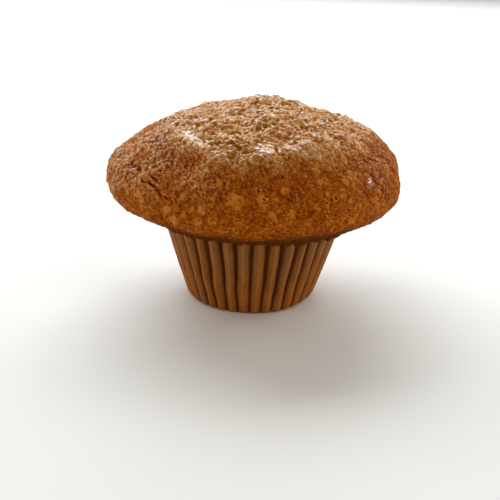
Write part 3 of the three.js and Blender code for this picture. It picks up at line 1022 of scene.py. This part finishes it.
def paper_material(colours):
    """Brown greaseproof paper, darker where oil soaked in, with painted shade in the folds and a painted
    highlight along the backs of the flutes.
    """
    material, tree, surface = blank_material("greaseproof_paper")
    where = add(tree, "ShaderNodeTexCoord", (-6, 0)).outputs["Object"]
    fold, edge, moist = kept_masks(tree, 3, "pleat")
    marks = speckles(tree, (-4, 0), where, 2400, 210)
    stretched = add(tree, "ShaderNodeMapping", (-5, 1), {"Vector": where, "Scale": (1.0, 1.0, 0.22)})
    fibres = speckles(tree, (-4, 1), stretched.outputs["Vector"], 1700, 420)

    patchy = weighed(tree, (-3, 3), (moist, 0.6), (marks["Blotch"], 0.4))
    up = add(tree, "ShaderNodeSeparateXYZ", (-5, 5), {"Vector": where}).outputs["Z"]
    drier = plus(tree, (-1, 5), ramp(tree, (-3, 5), up, 0.006, 0.03, 0.1, 0.7), patchy)
    drier = ramp(tree, (0, 5), drier, 0.4, 1.2)
    base = mix(tree, (1, 0), drier, colours.oiled_paper, colours.dry_paper)
    streaks = ramp(tree, (1, 2), fibres["Both"], 0.4, 0.8, 0.0, 0.3)
    base = mix(tree, (2, 0), streaks, base, colours.fibre_and_fold_shade)
    # Painted highlight: paler paper along the backs of the flutes.
    base = mix(tree, (3, 0), times(tree, (2, 3), edge, 0.6), base, colours.paper)
    # Painted shade at the bottoms of the folds.
    base = mix(tree, (4, 0), times(tree, (3, 2), fold, 0.8), base, colours.fibre_and_fold_shade)

    height = plus(tree, (5, 5), fibres["Speckle"], times(tree, (4, 6), marks["Speckle"], 0.6))
    bump = add(tree, "ShaderNodeBump", (7, 5), {"Height": height, "Strength": 0.35, "Distance": 0.00008})
    finish = {
        "Base Color": base,
        "Roughness": ramp(tree, (5, 3), marks["Blotch"], 0, 1, 0.5, 0.75),
        "Specular IOR Level": 0.06,
        "Normal": bump.outputs["Normal"],
    }
    fill(surface, finish)
    return material


def floor_material(colours):
    """Plain pale floor."""
    material, _, surface = blank_material("pale_floor")
    fill(surface, {"Base Color": colours.floor, "Roughness": 0.7})
    return material


# ---- stage ----


def show(mesh, name, material):
    """Puts a finished mesh into the scene at the origin."""
    mesh.materials.append(material)
    made = bpy.data.objects.new(name, mesh)
    bpy.context.scene.collection.objects.link(made)
    return made


def hang(data, place, target, roll=0.0):
    """Puts a light or a camera into the scene, turned towards a target and rolled about that line."""
    back = (Vector(place) - Vector(target)).normalized()
    right = Vector((0, 0, 1)).cross(back).normalized()
    turn = Matrix((right, back.cross(right), back)).transposed() @ Matrix.Rotation(roll, 3, "Z")
    made = bpy.data.objects.new(data.name, data)
    made.matrix_world = Matrix.Translation(place) @ turn.to_4x4()
    bpy.context.scene.collection.objects.link(made)
    return made


def panel_light(name, place, width, height, watts, tint):
    """A large soft panel of light, which the camera doesn't see."""
    lamp = bpy.data.lights.new(name, "AREA")
    lamp.shape, lamp.size, lamp.size_y = "RECTANGLE", width, height
    lamp.energy, lamp.color = watts, tint
    hang(lamp, place, LIGHT_TARGET).visible_camera = False


class MUFFIN_OT_stage(bpy.types.Operator):
    """Lays a plain pale floor and sets soft studio lights and the camera"""

    bl_idname = "muffin.stage"
    bl_label = "Set the Stage"
    bl_options = {"REGISTER", "UNDO"}

    def execute(self, context):
        scene = context.scene
        bm = bmesh.new()
        bmesh.ops.create_circle(bm, cap_ends=True, radius=FLOOR_RADIUS, segments=64)
        mesh = bpy.data.meshes.new("floor")
        bm.to_mesh(mesh)
        bm.free()
        floor = show(mesh, "floor", floor_material(scene.bake_colours))

        world = bpy.data.worlds.new("studio")
        world.use_nodes = True
        fill(world.node_tree.nodes["Background"], {"Color": SKY_TINT, "Strength": SKY_STRENGTH})
        scene.world = world
        scene.view_settings.view_transform = "Standard"
        scene.view_settings.look = "None"
        for light in LIGHTS:
            panel_light(*light)

        lens = bpy.data.cameras.new("camera")
        lens.sensor_width, lens.lens, lens.clip_start = SENSOR_WIDTH, FOCAL_LENGTH, 0.01
        scene.camera = hang(lens, CAMERA_PLACE, CAMERA_TARGET, math.radians(CAMERA_ROLL))
        return {"FINISHED"}


class MUFFIN_OT_bake(bpy.types.Operator):
    """Builds the baked muffin with its craggy crown and rolled lip"""

    bl_idname = "muffin.bake"
    bl_label = "Bake the Muffin"
    bl_options = {"REGISTER", "UNDO"}

    def execute(self, context):
        scene = context.scene
        mesh = baked_muffin(scene.crumb_sizes, scene.case_sizes)
        piece = show(mesh, "baked_muffin", crust_material(scene.bake_colours))
        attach(piece, "root")
        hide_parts("muffin")
        return {"FINISHED"}


class MUFFIN_OT_fold_case(bpy.types.Operator):
    """Folds the pleated paper case"""

    bl_idname = "muffin.fold_case"
    bl_label = "Fold the Paper Case"
    bl_options = {"REGISTER", "UNDO"}

    def execute(self, context):
        scene = context.scene
        piece = show(pleated_case(scene.case_sizes), "pleated_paper_case", paper_material(scene.bake_colours))
        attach(piece, "root")
        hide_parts("paper_case")
        return {"FINISHED"}


class VIEW3D_PT_muffin(bpy.types.Panel):
    """Lists the steps that make the muffin, and its sizes and colours"""

    bl_label = "Muffin"
    bl_idname = "VIEW3D_PT_muffin"
    bl_space_type = "VIEW_3D"
    bl_region_type = "UI"
    bl_category = "Muffin"

    def draw(self, context):
        layout, scene = self.layout, context.scene
        for step in STEPS:
            layout.operator(step.bl_idname)
        for title, group in (
            ("Muffin", scene.crumb_sizes), ("Paper case", scene.case_sizes), ("Colours", scene.bake_colours)
        ):
            box = layout.box()
            box.label(text=title)
            for name in group.__annotations__:
                box.prop(group, name)


STEPS = (MUFFIN_OT_stage, MUFFIN_OT_bake, MUFFIN_OT_fold_case)
GROUPS = {"crumb_sizes": CrumbSizes, "case_sizes": CaseSizes, "bake_colours": BakeColours}


def register():
    for cls in (*GROUPS.values(), *STEPS, VIEW3D_PT_muffin):
        bpy.utils.register_class(cls)
    for name, cls in GROUPS.items():
        setattr(bpy.types.Scene, name, PointerProperty(type=cls))


def unregister():
    for name in GROUPS:
        delattr(bpy.types.Scene, name)
    for cls in reversed((*GROUPS.values(), *STEPS, VIEW3D_PT_muffin)):
        bpy.utils.unregister_class(cls)


def main():
    register()
    bpy.ops.muffin.stage()
    bpy.ops.muffin.bake()
    bpy.ops.muffin.fold_case()


if __name__ == "__main__":
    main()
